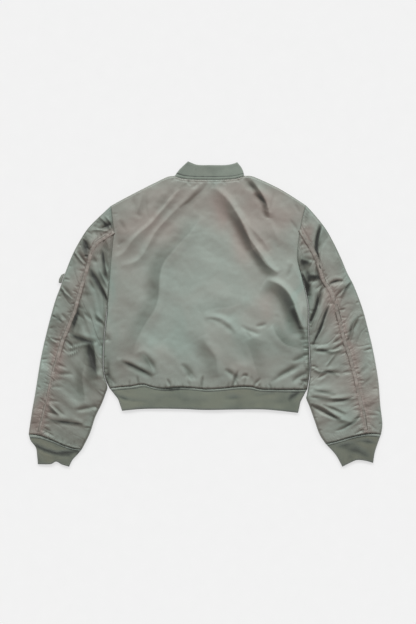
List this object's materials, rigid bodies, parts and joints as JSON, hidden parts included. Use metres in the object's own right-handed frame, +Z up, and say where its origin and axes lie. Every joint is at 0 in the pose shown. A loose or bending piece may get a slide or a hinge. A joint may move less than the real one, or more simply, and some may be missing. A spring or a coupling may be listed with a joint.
{
  "type": "bomber jacket",
  "caption": "Padded waist-length flight jacket with rib collar, waistband and cuffs, closed by a front zip and laid flat on its front with its back up.",
  "frame": {"origin": "centre of the jacket's box on the table it lies on", "axes": "+X across the shoulders towards the wearer's right, +Y from the hem up to the collar, +Z up off the table"},
  "size_m": [0.8479, 0.732, 0.0189],
  "materials": {
    "nylon_shell": "satin nylon twill, sage green shot with a brown mauve",
    "rib_knit": "matt rib knit, sage green",
    "zip_tape": "woven tape",
    "zip_metal": "dull nickel"
  },
  "bodies": {
    "jacket": {"back_panel": "nylon_shell", "front_left": "nylon_shell", "front_right": "nylon_shell", "sleeve_left_outer": "nylon_shell", "sleeve_left_under": "nylon_shell", "sleeve_right_outer": "nylon_shell", "sleeve_right_under": "nylon_shell", "waistband": "rib_knit", "cuff_left": "rib_knit", "cuff_right": "rib_knit", "collar": "rib_knit", "zip_tape_left": "zip_tape", "zip_tape_right": "zip_tape", "zip_chain": "zip_metal", "zip_slider": "zip_metal", "pocket_tab": "nylon_shell"},
    "zip_pull_body": {"zip_pull": "zip_metal"}
  },
  "joints": [
    {"name": "zip_pull_hinge", "type": "hinge", "parent": "jacket", "child": "zip_pull_body", "pos_m": [0.0096, 0.244, 0.00195], "axis": [1, 0, 0], "range_deg": [0, 165]}
  ]
}
